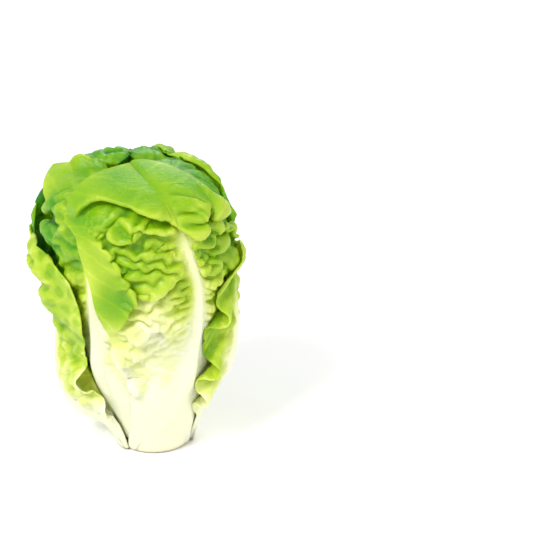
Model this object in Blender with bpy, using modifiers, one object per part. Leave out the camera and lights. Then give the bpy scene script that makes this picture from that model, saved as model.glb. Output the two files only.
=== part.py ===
"""Head of little gem lettuce, standing on its cut stem.

The leaves grow from a short stem and wrap round each other in layers. Every layer is a scaled
copy of one egg-shaped outline, so that each leaf is drawn as a flat chart, laid on its layer and
then pushed outward until it clears the leaves inside it.

The origin is at the middle of the cut face of the stem. +Z is up and the front is towards -Y.
"""
import math
from dataclasses import dataclass

import bpy
import numpy as np

MM = 0.001

# Size of the head: radius and height of the outermost layer, in mm, from the cut stem to the crown
OUTLINE = ((14.8, 0), (18, 10), (22.5, 22), (31, 48), (37.8, 75), (41.5, 98),
           (41, 115), (37.5, 126), (29, 134), (16, 138), (0, 139.5))
CENTRE_HEIGHT = 82 * MM
CENTRE = np.array([0, 0, CENTRE_HEIGHT])
HEAD_HEIGHT = 142.5 * MM
LEAN = 8 * MM
LEAN_POWER = 1.3

# Stem: the cut face is a thin plate, from which a core tapers up inside the head
STEM_RINGS = ((14.2, 0), (14.2, 0.7), (8.6, 0.9), (7.2, 10), (5.2, 24), (3.8, 34), (2.2, 38))
STEM_TIP = 39.5
STEM_SIDES = 28

# Bud in the middle of the head: an egg with twisted ridges, between the stem and the crown
BUD_RADIUS = 13 * MM
BUD_MIDDLE = 80 * MM
BUD_HALF_HEIGHT = 34 * MM
BUD_RIDGES = 5
BUD_RIDGE = 0.12
BUD_TWIST = 0.8

# Leaves: where they leave the stem, how thick they are and how far apart they stay
BASE_POLAR = math.radians(172)
BASE_HEIGHT = 0.8 * MM
FOOT_HEIGHT = 1.3 * MM
FOOT_ROUNDS = 3
BLADE_THICKNESS = 0.65 * MM
STALK_THICKNESS = 1.3 * MM
RIB_HEIGHT = 2.4 * MM
GAP = 0.3 * MM
LAYER_DEPTH = 46 * MM

# Where along a leaf the stalk thins out, and where the rib starts and fades
STALK_FADE = (0.05, 0.4)
RIB_RISE = (0, 0.2)
RIB_FADE = (0.3, 1)

# Half-width of a leaf's rib, in mm along the leaf: it starts as the whole stalk
RIB_WIDTH = ((0, 11), (0.15, 8), (0.3, 5.5), (0.5, 4), (0.75, 2.6), (1, 1.4))
RIB_BAND = 0.2

# Folds between the side veins and waves of the edges: how fast each runs along and across
VEIN_SLOPE = 0.25
BROAD_FOLDS = 25
NARROW_FOLDS = (41, -5)
SIDE_WAVES = 29
TOP_WAVES = 8
SIDE_PHASE = 1.6
FOLD_BLADE = (0.12, 0.35)
EDGE_BLADE = (0.15, 0.35)
TOP_EDGE = (0.85, 1)
TOP_BLADE = (0.75, 1)

# Columns of a leaf's grid from the rib to an edge, as shares of the half-width
BLADE_COLUMNS = {
    "front": (0, 0.1, 0.2, 0.28, 0.37, 0.46, 0.55, 0.64, 0.73, 0.82, 0.91, 1),
    "fine": (0, 0.1, 0.2, 0.36, 0.52, 0.68, 0.84, 1),
    "plain": (0, 0.12, 0.28, 0.52, 0.76, 1),
}
LEDGE_WIDTH = 2 * MM
BLADE_ROWS = {"front": 28, "fine": 18, "plain": 12}

# Directions round the head's centre, on which the layers are kept apart
CELL = math.radians(1.5)
POLAR_CELLS = 120
AZIMUTH_CELLS = 240
SETTLE_ROUNDS = 40
TRIANGLE_SAMPLES = 5
LEAST_LIFT = 0.01 * MM


@dataclass
class Ledge:
    """A line along which a leaf's blade steps outward, on the left of the line's direction.

    line is its places on the flat leaf, sideways from the rib and onward from the stem. The step
    is height high, and fades over reach behind the line and over fade at its ends, all in mm.
    """
    line: tuple
    height: float
    reach: float
    fade: float = 8.0


@dataclass
class Leaf:
    """One leaf. Angles are in degrees from the front, positive to the right, and sizes in mm.

    rib, left and right are curves over the leaf's length, which runs from 0 at the stem to 1 at
    the top edge: where the rib goes round the head, and the half-width on either side of it.
    shoulder is where the side edges end, as a share of the middle's length.
    bumps are places that stand off: along, across, their two sizes and their height. ruffle is
    how far the waves of the edge stand out, and folds how far the folds between the side veins do, which end
    at fold_end of the length.
    """
    name: str
    layer: float
    length: float
    rib: tuple
    left: tuple
    right: tuple
    shoulder: float = 0.78
    flare: float = 0.0
    flare_start: float = 0.5
    bumps: tuple = ()
    ledges: tuple = ()
    ruffle: float = 2.2
    folds: float = 1.0
    fold_end: float = 1.2
    phase: float = 0.0
    grid: str = "fine"
    colour: tuple = (0.35, 0.62, 0.10)


PALE = (0.62, 0.78, 0.30)
LIGHT = (0.42, 0.68, 0.12)
MID = (0.27, 0.56, 0.07)
DEEP = (0.14, 0.42, 0.04)
STEM_COLOUR = (0.80, 0.80, 0.58)


def spread(half_width, stalk=12):
    """Half-width curve of an ordinary leaf: a narrow stalk that opens into a broad blade."""
    share = ((0, 0), (0.12, 0.03), (0.25, 0.22), (0.4, 0.6), (0.6, 0.93), (0.8, 1), (1, 0.93))
    return tuple((along, stalk + (half_width - stalk) * part) for along, part in share)


# Hood at the top of the front leaf, left and right of its rib, and the flap at its left edge
FRONT_LEDGES = (
    Ledge(((-36, 143), (-23, 145), (-15, 138), (-9, 132), (-2, 131)), height=3, reach=20),
    Ledge(((7, 124), (11, 129), (16.5, 133), (24, 132), (32, 127)), height=2.5, reach=12),
    Ledge(((-40, 70), (-33, 83), (-28, 92), (-25, 97), (-30, 106), (-34, 121), (-34.5, 137)),
          height=3, reach=9),
)

LEAVES = (
    Leaf("heart_leaf_3", 0.60, 108, ((0, 236), (1, 250)), spread(28, 8), spread(28, 8),
         ruffle=0.2, folds=0, phase=0.4, grid="plain", colour=PALE),
    Leaf("heart_leaf_2", 0.66, 118, ((0, 98), (1, 110)), spread(30, 8), spread(30, 8),
         ruffle=0.2, folds=0, phase=1.9, grid="plain", colour=PALE),
    Leaf("heart_leaf_1", 0.72, 126, ((0, -38), (1, -28)), spread(32, 9), spread(32, 9),
         ruffle=0.2, folds=0, phase=3.1, grid="plain", colour=PALE),
    Leaf("inner_leaf_back", 0.79, 136, ((0, 158), (1, 148)), spread(38, 10), spread(38, 10),
         bumps=((0.85, 0.1, 0.15, 0.5, 8),), ruffle=0.5, folds=0, phase=2.2, grid="plain",
         colour=LIGHT),
    Leaf("inner_leaf_front", 0.80, 142, ((0, 22), (1, 34)), spread(38, 10), spread(34, 10),
         ruffle=0.5, folds=0, phase=0.9, grid="plain", colour=LIGHT),
    Leaf("inner_leaf_left", 0.86, 132, ((0, -88), (1, -94)), spread(42, 11), spread(40, 11),
         flare=1.5, ruffle=0.8, folds=0.2, phase=4.0, colour=MID),
    Leaf("back_leaf", 0.92, 158, ((0, 178), (1, 186)), spread(46), spread(44), shoulder=0.84,
         bumps=((1, 0, 0.2, 0.4, 5),), folds=0.8, ruffle=0.6, phase=5.2, colour=DEEP),
    Leaf("right_leaf", 0.90, 152, ((0, 62), (1, 66)), spread(40), spread(40),
         bumps=((0.9, 0.1, 0.25, 0.8, 4),), folds=1.0, phase=1.3, ruffle=0.8, colour=MID),
    Leaf("front_left_leaf", 0.92, 156,
         ((0, -66), (0.22, -68), (0.45, -54), (0.7, -44), (1, -41)),
         ((0, 9), (0.14, 9), (0.3, 12), (0.5, 22), (0.75, 31), (1, 31)),
         ((0, 10), (0.12, 16), (0.25, 26), (0.4, 34), (0.6, 38), (1, 36)), shoulder=0.95,
         bumps=((1, -0.9, 0.16, 0.5, 3), (0.25, 0, 0.14, 1, 2)), folds=0.8, ruffle=0.8,
         phase=2.9, colour=LIGHT),
    Leaf("left_back_leaf", 0.97, 121, ((0, -130), (1, -134)), spread(38), spread(34),
         flare=7, flare_start=0.6, folds=1.4, ruffle=1.0, phase=0.7, colour=DEEP),
    Leaf("right_back_leaf", 0.93, 144, ((0, 128), (1, 138)), spread(34), spread(36),
         folds=0.8, ruffle=0.8, phase=3.6, colour=MID),
    Leaf("front_leaf", 0.98, 168,
         ((0, 14), (0.12, 27), (0.3, 42), (0.45, 45), (0.6, 42), (0.8, 29), (1, 14)),
         ((0, 17), (0.14, 20), (0.25, 24), (0.37, 30), (0.47, 36), (0.57, 43), (0.72, 44),
          (1, 40)),
         ((0, 18), (0.1, 15), (0.2, 12), (0.3, 15), (0.42, 20), (0.6, 24), (0.68, 26),
          (0.75, 38), (0.83, 38), (1, 32)),
         shoulder=0.80, bumps=((0.75, -0.85, 0.3, 0.2, 1), (1, 0.35, 0.16, 0.7, 1)),
         ledges=FRONT_LEDGES, folds=1.8, fold_end=0.85, ruffle=0.9, grid="front", colour=LIGHT),
    Leaf("back_outer_leaf", 1.03, 116, ((0, 168), (1, 174)), spread(34), spread(34),
         shoulder=0.74, flare=1.5, ruffle=1.6, folds=1.6, phase=1.1, colour=MID),
    Leaf("right_outer_leaf", 1.0, 102, ((0, 98), (0.4, 94), (1, 90)),
         ((0, 10), (0.14, 10), (0.3, 16), (0.45, 20), (0.7, 21), (1, 19)), spread(32),
         shoulder=0.80, bumps=((0.42, 0, 0.2, 1.5, 7), (0.7, 0, 0.25, 1.5, 4)), ruffle=1.2,
         folds=1.0, phase=2.6, colour=LIGHT),
    Leaf("left_outer_leaf", 1.03, 98, ((0, -106), (0.3, -102), (1, -96)), spread(30, 10),
         ((0, 10), (0.16, 10), (0.28, 15), (0.4, 21), (0.6, 29), (0.8, 35), (1, 34)),
         shoulder=0.95, bumps=((0.45, -0.3, 0.15, 1, 18), (0.65, -0.2, 0.3, 1.1, 7)),
         ruffle=1.4, folds=1.4, phase=0.2, colour=PALE),
)


def curve(along, points):
    """Smooth curve through (place, value) points, read at along."""
    places, values = (np.array(column, float) for column in zip(*points))
    slopes = np.gradient(values, places)
    along = np.clip(along, places[0], places[-1])
    i = np.clip(np.searchsorted(places, along) - 1, 0, len(places) - 2)
    step = places[i + 1] - places[i]
    t = (along - places[i]) / step
    start = (2 * t**3 - 3 * t**2 + 1) * values[i] + (t**3 - 2 * t**2 + t) * step * slopes[i]
    end = (3 * t**2 - 2 * t**3) * values[i + 1] + (t**3 - t**2) * step * slopes[i + 1]
    return start + end


def ease(value, low, high):
    """0 below low, 1 above high and a smooth step between them."""
    t = np.clip((value - low) / (high - low), 0, 1)
    return t * t * (3 - 2 * t)


def outline_reach(polar):
    """Distance from the head's centre to the outermost layer, at an angle from straight up."""
    corners = []
    for radius, height in reversed(OUTLINE):
        above = height * MM - CENTRE_HEIGHT
        corners.append((math.atan2(radius * MM, above), math.hypot(radius * MM, above)))
    return curve(np.abs(polar), corners)


def crown_layer(layer, polar):
    """Scale of a layer at a polar angle: the layers lie a little closer over the crown."""
    closeness = 0.8 + 0.2 * ease(np.abs(polar), math.radians(25), math.radians(75))
    return 1 - (1 - layer) * closeness


def polar_at(distance, layer):
    """Polar angle at a distance along a layer, from its foot at the stem over the crown."""
    polar = np.linspace(BASE_POLAR, -math.radians(60), 500)
    reach = outline_reach(polar) * crown_layer(layer, polar)
    radius = reach * np.sin(polar)
    height = reach * np.cos(polar)
    above_floor = CENTRE_HEIGHT + height > BASE_HEIGHT
    polar, radius, height = polar[above_floor], radius[above_floor], height[above_floor]
    steps = np.hypot(np.diff(radius), np.diff(height))
    return np.interp(distance, np.concatenate([[0], np.cumsum(steps)]), polar)


def leaf_chart(leaf, along, across):
    """Flat place of a leaf's points: sideways from the rib and onward from the stem."""
    half = np.where(across < 0, curve(along, leaf.left), curve(along, leaf.right)) * MM
    rib = np.minimum(curve(along, RIB_WIDTH) * MM, 0.8 * half)
    size = np.abs(across)
    in_rib = np.minimum(size / RIB_BAND, 1) * rib
    in_blade = np.clip((size - RIB_BAND) / (1 - RIB_BAND), 0, 1) * (half - rib)
    arch = np.cos(across * math.pi / 2) ** 0.8
    onward = along * leaf.length * MM * (leaf.shoulder + (1 - leaf.shoulder) * arch)
    return np.sign(across) * (in_rib + in_blade), onward


def leaf_directions(leaf, along, sideways, onward):
    """Directions from the head's centre through a leaf's points, and the layer's scale there."""
    polar = polar_at(onward, leaf.layer)
    reach = outline_reach(polar) * leaf.layer
    rib = np.radians(curve(along, leaf.rib))
    around = rib + sideways / np.maximum(np.abs(reach * np.sin(polar)), 8 * MM)
    ring = np.stack([np.sin(polar) * np.sin(around), -np.sin(polar) * np.cos(around),
                     np.cos(polar)], -1)
    middle = np.stack([np.sin(polar) * np.sin(rib), -np.sin(polar) * np.cos(rib),
                       np.cos(polar)], -1)
    side = np.stack([np.cos(rib), np.sin(rib), np.zeros_like(rib)], -1)
    turn = (sideways / reach)[..., None]
    cap = middle * np.cos(turn) + side * np.sin(turn)
    over_crown = ease(-polar, -math.radians(62), -math.radians(24))[..., None]
    direction = ring * (1 - over_crown) + cap * over_crown
    direction /= np.linalg.norm(direction, axis=-1, keepdims=True)
    polar = np.arccos(np.clip(direction[..., 2], -1, 1))
    return direction, crown_layer(leaf.layer, polar)


def leaf_lift(leaf, along, across):
    """How far a leaf's points stand off its layer: where it flares, and its broad bumps."""
    lift = leaf.flare * ease(along, leaf.flare_start, 1)
    for bump_along, bump_across, long_size, cross_size, height in leaf.bumps:
        apart = ((along - bump_along) / long_size) ** 2
        apart += ((across - bump_across) / cross_size) ** 2
        lift = lift + height * np.exp(-apart)
    return lift * MM


def leaf_relief(leaf, along, across):
    """Folds between a leaf's side veins and the waves of its edge, all raised outward."""
    size = np.abs(across)
    blade = ease(size, RIB_BAND, 0.6) * ease(along, *FOLD_BLADE)
    side = leaf.phase + SIDE_PHASE * np.sign(across)
    vein = along - VEIN_SLOPE * size
    narrow_along, narrow_across = NARROW_FOLDS
    folds = np.sin(BROAD_FOLDS * vein + side)
    folds += 0.5 * np.sin(narrow_along * vein + narrow_across * size + 2 * side)
    edge = ease(size, 0.5, 1) * ease(along, *EDGE_BLADE) * (1 - ease(along, *TOP_EDGE))
    top = ease(along, *TOP_BLADE)
    side_waves = 1 + np.sin(SIDE_WAVES * along + 2 * side)
    top_waves = 1 + np.sin(TOP_WAVES * across + side)
    calm_edge = 1 - 0.5 * ease(size, 0.7, 1)
    blade = blade * (1 - ease(along, leaf.fold_end - 0.15, leaf.fold_end))
    relief = leaf.folds * blade * calm_edge * (1.2 + folds) + leaf.ruffle * edge * side_waves
    return (relief + leaf.ruffle * top * top_waves) * MM


def ledge_lift(ledge, sideways, onward):
    """How far a ledge lifts each point of a leaf."""
    line_x, line_y = (np.array(column) * MM for column in zip(*ledge.line))
    nearest = np.full(sideways.shape, np.inf)
    signed = np.zeros(sideways.shape)
    travel = np.zeros(sideways.shape)
    gone = 0.0
    for i in range(len(line_x) - 1):
        step_x, step_y = line_x[i + 1] - line_x[i], line_y[i + 1] - line_y[i]
        span = math.hypot(step_x, step_y)
        from_x, from_y = sideways - line_x[i], onward - line_y[i]
        share = np.clip((from_x * step_x + from_y * step_y) / span**2, 0, 1)
        apart = np.hypot(from_x - share * step_x, from_y - share * step_y)
        closer = apart < nearest
        nearest = np.where(closer, apart, nearest)
        signed = np.where(closer, apart * np.sign(step_x * from_y - step_y * from_x), signed)
        travel = np.where(closer, gone + share * span, travel)
        gone += span
    ends = ease(travel, 0, ledge.fade * MM) * ease(gone - travel, 0, ledge.fade * MM)
    rise = ease(signed, -LEDGE_WIDTH, LEDGE_WIDTH)
    return ledge.height * MM * rise * ends * np.exp(-np.maximum(signed, 0) / (ledge.reach * MM))


def leaf_thickness(along, across):
    """Thickness of a leaf: a thin blade, a stout stalk and a rib that tapers upward."""
    size = np.abs(across)
    stalk = STALK_THICKNESS * (1 - ease(along, *STALK_FADE)) * (1 - size**3)
    rib = RIB_HEIGHT * (1 - ease(along, *RIB_FADE)) * ease(along, *RIB_RISE)
    ridge = 1 - ease(size, 0, RIB_BAND)
    return BLADE_THICKNESS + stalk + rib * ridge


def grid_triangles(rows, columns):
    """Triangles of a grid of points, with the diagonals alternating."""
    triangles = []
    for row in range(rows):
        for column in range(columns):
            a = row * (columns + 1) + column
            b, c, d = a + 1, a + columns + 2, a + columns + 1
            if (row + column) % 2:
                triangles += [(a, b, c), (a, c, d)]
            else:
                triangles += [(a, b, d), (b, c, d)]
    return np.array(triangles)


def vertex_normals(points, triangles):
    """Normals of a mesh at its points, pointing away from the head."""
    corners = points[triangles]
    face = np.cross(corners[:, 1] - corners[:, 0], corners[:, 2] - corners[:, 0])
    normals = np.zeros_like(points)
    for corner in range(3):
        np.add.at(normals, triangles[:, corner], face)
    return normals / np.linalg.norm(normals, axis=1, keepdims=True)


class Stack:
    """How far out the leaves laid so far reach, as a layer's scale in every direction."""

    def __init__(self):
        self.scale = np.zeros((POLAR_CELLS, AZIMUTH_CELLS))

    def cells(self, points):
        """Row and column of each point's direction, and the layer's scale at the point."""
        offset = points - CENTRE
        reach = np.linalg.norm(offset, axis=1)
        polar = np.arccos(np.clip(offset[:, 2] / reach, -1, 1))
        azimuth = np.arctan2(offset[:, 0], -offset[:, 1]) % (2 * math.pi)
        row = np.minimum((polar / CELL).astype(int), POLAR_CELLS - 1)
        column = (azimuth / CELL).astype(int) % AZIMUTH_CELLS
        return row, column, reach / outline_reach(polar)

    def read(self, points):
        """Scale that each point has to clear, and its own scale."""
        row, column, scale = self.cells(points)
        return self.widened[row, column], scale

    def add(self, points):
        """Lay a surface on the stack."""
        row, column, scale = self.cells(points)
        np.maximum.at(self.scale, (row, column), scale)

    def settle(self):
        """Widen what is laid by one cell each way, so that slopes are cleared too."""
        rows = np.pad(self.scale, ((1, 1), (0, 0)), mode="edge")
        beside = [np.roll(self.scale, 1, axis=1), np.roll(self.scale, -1, axis=1)]
        self.widened = np.max([rows[:-2], rows[1:-1], rows[2:], *beside], axis=0)


def triangle_samples(points, triangles):
    """Points spread over each triangle, with the weights of its corners."""
    count = TRIANGLE_SAMPLES
    weights = []
    for i in range(count + 1):
        for j in range(count + 1 - i):
            weights.append((i / count, j / count, (count - i - j) / count))
    weights = np.array(weights)
    samples = np.einsum("wc,tcx->twx", weights, points[triangles])
    return samples, weights


def leaf_grid(leaf):
    """Rows and columns of a leaf's points, as shares of its length and of its half-widths."""
    rows = np.linspace(0, 1, BLADE_ROWS[leaf.grid] + 1)
    half = np.array(BLADE_COLUMNS[leaf.grid])
    columns = np.concatenate([-half[:0:-1], half])
    return np.meshgrid(rows, columns, indexing="ij")


def lay_leaf(leaf, stack):
    """Outer face of a leaf, laid on the leaves inside it, and its thickness at each point."""
    along, across = leaf_grid(leaf)
    shape = along.shape
    along, across = along.ravel(), across.ravel()
    triangles = grid_triangles(shape[0] - 1, shape[1] - 1)
    sideways, onward = leaf_chart(leaf, along, across)
    thickness = leaf_thickness(along, across)
    lift = leaf_lift(leaf, along, across) + thickness
    relief = leaf_relief(leaf, along, across)
    for ledge in leaf.ledges:
        relief = relief + ledge_lift(ledge, sideways, onward)
    stack.settle()
    for _ in range(FOOT_ROUNDS):
        direction, scale = leaf_directions(leaf, along, sideways, onward)
        reach = outline_reach(np.arccos(np.clip(direction[:, 2], -1, 1)))
        scale = raise_clear(scale + lift / LAYER_DEPTH, direction, reach, triangles, thickness,
                            stack, shape)
        scale = raise_clear(scale + relief / LAYER_DEPTH, direction, reach, triangles,
                            thickness, stack, shape)
        points = CENTRE + direction * (scale * reach)[:, None]
        below = np.maximum(FOOT_HEIGHT - points[:shape[1], 2], 0)
        onward = onward + np.tile(below, shape[0]) * (1 - along) ** 3
    points[:, 2] = np.maximum(points[:, 2], FOOT_HEIGHT)
    samples, _ = triangle_samples(points, triangles)
    stack.add(samples.reshape(-1, 3))
    return points, triangles, thickness


def raise_clear(scale, direction, reach, triangles, thickness, stack, shape):
    """Raise a leaf's points along their rays until the leaf clears what is laid."""
    for _ in range(SETTLE_ROUNDS):
        points = CENTRE + direction * (scale * reach)[:, None]
        need = shortfall(points, triangles, thickness, stack)
        if need.max() < LEAST_LIFT / LAYER_DEPTH:
            break
        scale = scale + spread_lift(need.reshape(shape)).ravel()
    return scale


def shortfall(points, triangles, thickness, stack):
    """How much each point has to rise for the leaf's inner face to clear what is laid."""
    inner = points - vertex_normals(points, triangles) * thickness[:, None]
    samples, weights = triangle_samples(inner, triangles)
    floor, own = stack.read(samples.reshape(-1, 3))
    short = np.maximum(floor + GAP / LAYER_DEPTH - own, 0).reshape(samples.shape[:2])
    lift = np.zeros(len(points))
    for corner in range(3):
        need = (short * (weights[:, corner] > 0.15)).max(axis=1)
        np.maximum.at(lift, triangles[:, corner], need)
    return lift


def spread_lift(lift):
    """Carry a lift over to the points beside it, so that a leaf rises as a smooth sheet."""
    padded = np.pad(lift, 1, mode="edge")
    beside = (padded[:-2, 1:-1] + padded[2:, 1:-1] + padded[1:-1, :-2] + padded[1:-1, 2:]) / 4
    return np.maximum(lift, 0.7 * beside)


def lean(points):
    """Bend the upright head a little to the left, as it stands in its real pose."""
    leaning = points.copy()
    height = np.clip(points[:, 2], 0, None)
    leaning[:, 0] -= LEAN * (height / HEAD_HEIGHT) ** LEAN_POWER
    return leaning


def make_material(name, colour, roughness):
    material = bpy.data.materials.new(name)
    material.use_nodes = True
    shader = material.node_tree.nodes["Principled BSDF"]
    shader.inputs["Base Color"].default_value = (*colour, 1)
    shader.inputs["Roughness"].default_value = roughness
    shader.inputs["Metallic"].default_value = 0
    return material


def make_object(name, points, faces, material, collection):
    mesh = bpy.data.meshes.new(name)
    mesh.from_pydata(points.tolist(), [], [tuple(int(i) for i in face) for face in faces])
    mesh.validate()
    mesh.shade_smooth()
    mesh.materials.append(material)
    thing = bpy.data.objects.new(name, mesh)
    collection.objects.link(thing)
    return thing


def make_leaf(leaf, stack, collection):
    """A leaf: its outer face, thickened inward by a Solidify modifier."""
    points, triangles, thickness = lay_leaf(leaf, stack)
    material = make_material(leaf.name, leaf.colour, 0.45)
    thing = make_object(leaf.name, lean(points), triangles, material, collection)
    group = thing.vertex_groups.new(name="thickness")
    thickest = float(thickness.max())
    for index, value in enumerate(thickness):
        group.add([index], float(value) / thickest, "REPLACE")
    solidify = thing.modifiers.new("Thickness", "SOLIDIFY")
    solidify.thickness = thickest
    solidify.offset = -1
    solidify.vertex_group = group.name
    solidify.use_even_offset = False
    return thing


def make_stem(collection):
    """The short cut stem: a flat round foot, tapering up inside the head."""
    profile = ((0, 0), *STEM_RINGS, (0, STEM_TIP))
    corners = [(radius * MM, 0, height * MM) for radius, height in reversed(profile)]
    edges = [(i, i + 1) for i in range(len(corners) - 1)]
    mesh = bpy.data.meshes.new("cut_stem")
    mesh.from_pydata(corners, edges, [])
    mesh.materials.append(make_material("cut_stem", STEM_COLOUR, 0.6))
    stem = bpy.data.objects.new("cut_stem", mesh)
    collection.objects.link(stem)
    screw = stem.modifiers.new("Turn", "SCREW")
    screw.steps = STEM_SIDES
    screw.render_steps = STEM_SIDES
    screw.use_merge_vertices = True
    screw.merge_threshold = 0.00001
    return stem


def make_heart_bud(collection):
    """The bud in the middle of the head: tightly folded young leaves, seen as its ridges."""
    bpy.ops.mesh.primitive_uv_sphere_add(segments=18, ring_count=10, radius=1)
    bud = bpy.context.object
    bud.name = bud.data.name = "heart_bud"
    for vertex in bud.data.vertices:
        x, y, z = vertex.co
        turn = math.atan2(x, -y) + BUD_TWIST * z
        ridge = 1 + BUD_RIDGE * math.sin(BUD_RIDGES * turn) * math.hypot(x, y)
        height = BUD_MIDDLE + z * BUD_HALF_HEIGHT
        wide = BUD_RADIUS * ridge * (1 + 0.35 * z)
        vertex.co = (x * wide, y * wide, height)
    points = np.array([vertex.co for vertex in bud.data.vertices])
    for vertex, place in zip(bud.data.vertices, lean(points)):
        vertex.co = place
    bud.data.materials.append(make_material("heart_bud", PALE, 0.5))
    for owner in list(bud.users_collection):
        owner.objects.unlink(bud)
    collection.objects.link(bud)
    return bud


def main():
    for thing in list(bpy.data.objects):
        bpy.data.objects.remove(thing, do_unlink=True)
    collection = bpy.data.collections.new("little_gem_lettuce")
    bpy.context.scene.collection.children.link(collection)
    make_stem(collection)
    make_heart_bud(collection)
    stack = Stack()
    for leaf in LEAVES:
        make_leaf(leaf, stack, collection)


main()
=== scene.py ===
"""Looks of a head of little gem lettuce, standing on its cut stem.

Each leaf is drawn as a flat chart, laid on the leaves inside it, and then grown: the sheet gets
larger than the room it has, so that it buckles into folds, blisters and a ruffled edge.
"""
import math
from dataclasses import dataclass

import bpy
import numpy as np
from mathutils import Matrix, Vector


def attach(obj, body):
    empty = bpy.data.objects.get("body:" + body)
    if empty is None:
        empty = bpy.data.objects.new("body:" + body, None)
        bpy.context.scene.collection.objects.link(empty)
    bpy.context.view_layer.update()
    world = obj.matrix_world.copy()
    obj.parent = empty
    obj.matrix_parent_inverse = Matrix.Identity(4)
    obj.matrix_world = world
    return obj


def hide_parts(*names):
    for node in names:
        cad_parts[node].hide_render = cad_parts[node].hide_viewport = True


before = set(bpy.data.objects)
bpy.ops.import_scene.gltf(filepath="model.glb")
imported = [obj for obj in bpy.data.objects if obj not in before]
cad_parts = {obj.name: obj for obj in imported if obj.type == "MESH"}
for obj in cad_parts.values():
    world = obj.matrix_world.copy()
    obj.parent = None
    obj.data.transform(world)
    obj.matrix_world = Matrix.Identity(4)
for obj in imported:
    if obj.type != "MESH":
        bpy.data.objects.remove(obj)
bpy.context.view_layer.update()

MM = 0.001

# Size of the head, as in the solids: radius and height of the outermost layer, in mm
OUTLINE = ((14.8, 0), (18, 10), (22.5, 22), (31, 48), (37.8, 75), (41.5, 98),
           (41, 115), (37.5, 126), (29, 134), (16, 138), (0, 139.5))
CENTRE_HEIGHT = 82 * MM
CENTRE = np.array([0, 0, CENTRE_HEIGHT])
HEAD_HEIGHT = 142.5 * MM
LEAN = 8 * MM
LEAN_POWER = 1.3

# Leaves: where they leave the stem, how thick they are and how far apart they stay
BASE_POLAR = math.radians(172)
BASE_HEIGHT = 0.8 * MM
FOOT_HEIGHT = 1.2 * MM
FOOT_ROUNDS = 5
FLOOR_CLEARANCE = 0.2 * MM
BLADE_THICKNESS = 0.6 * MM
STALK_THICKNESS = 1.4 * MM
RIB_HEIGHT = 2.4 * MM
STALK_FADE = (0.05, 0.4)
RIB_START = (0.05, 0.35)
RIB_FADE = (0.3, 0.9)
GAP = 0.15 * MM
LAYER_DEPTH = 46 * MM

# Half-width of a leaf's rib, in mm along the leaf: it starts as the whole stalk
RIB_WIDTH = ((0, 11), (0.15, 8), (0.3, 5.5), (0.5, 4), (0.75, 2.4), (1, 1))
RIB_BAND = 0.2
RIB_COLUMNS = 3

# Spacing of a leaf's points on the first of its grids, and how much finer each next grid is
SPACING = 3.4 * MM
FINER = (2, 2, 1.4)

# Laying a leaf: rounds that raise it clear of what lies under it, rounds that smooth it, the
# least rise that counts, and rounds that soften the edges of what lies over it
SETTLE_ROUNDS = 60
SMOOTH_ROUNDS = 14
LEAST_NEED = 1e-6
COVER_ROUNDS = 5
MARK_DISTANCE = 0.05

# Growing a leaf: share of the rounds in which it grows, how firmly its edges and diagonals keep
# their length, share of its growth that a covered place keeps, and how calm a patch can be
GROWING_SHARE = 0.6
EDGE_PULL = 0.95
DIAGONAL_PULL = 0.3
COVERED_GROWTH = 0.12
MOST_CALM = 0.96

# Pitch of a leaf's crinkles, blisters and colour spots, height of its blisters in mm, and the
# rounds of smoothing on each of its grids that tell its domes from its hollows
CRINKLE_PITCH = 8 * MM
BLISTER_PITCH = 3.6 * MM
SPOT_PITCH = 7 * MM
BLISTER_HEIGHT = 1.2
DOME_ROUNDS = (20, 20, 20, 40)

# Side veins: how far apart they leave the rib, how wide they are and how they curve upward
VEIN_PITCH = 12 * MM
VEIN_WIDTH = 0.7 * MM
VEIN_SLOPE = 0.55
VEIN_CURVE = 0.004 / MM
VEIN_WANDER = 2.2 * MM

# Creases: width of the turn, and how far to either side the leaf slides
CREASE_WIDTH = 1.2 * MM
CREASE_REACH = 7 * MM

# Directions round the head's centre, on which the layers are kept apart
CELL = math.radians(1)
POLAR_CELLS = 180
AZIMUTH_CELLS = 360

# Angles from straight up between which a leaf goes over from wrapping round the head to lying
# flat over its crown, how far past the top it may reach, and the least radius that it wraps
CROWN_FROM = math.radians(62)
CROWN_TO = math.radians(24)
PAST_TOP = math.radians(60)
POLAR_STEPS = 500
LEAST_RADIUS = 8 * MM


@dataclass
class Crease:
    """A fold where one side of a leaf overhangs the other.

    line is its places on the flat leaf, sideways from the rib and onward from the stem, and
    the raised side lies left of it. All sizes are in mm.
    """
    line: tuple
    height: float = 4.0
    overhang: float = 3.0
    tuck: float = 2.0
    reach: float = 25.0
    fade: float = 10.0


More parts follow.
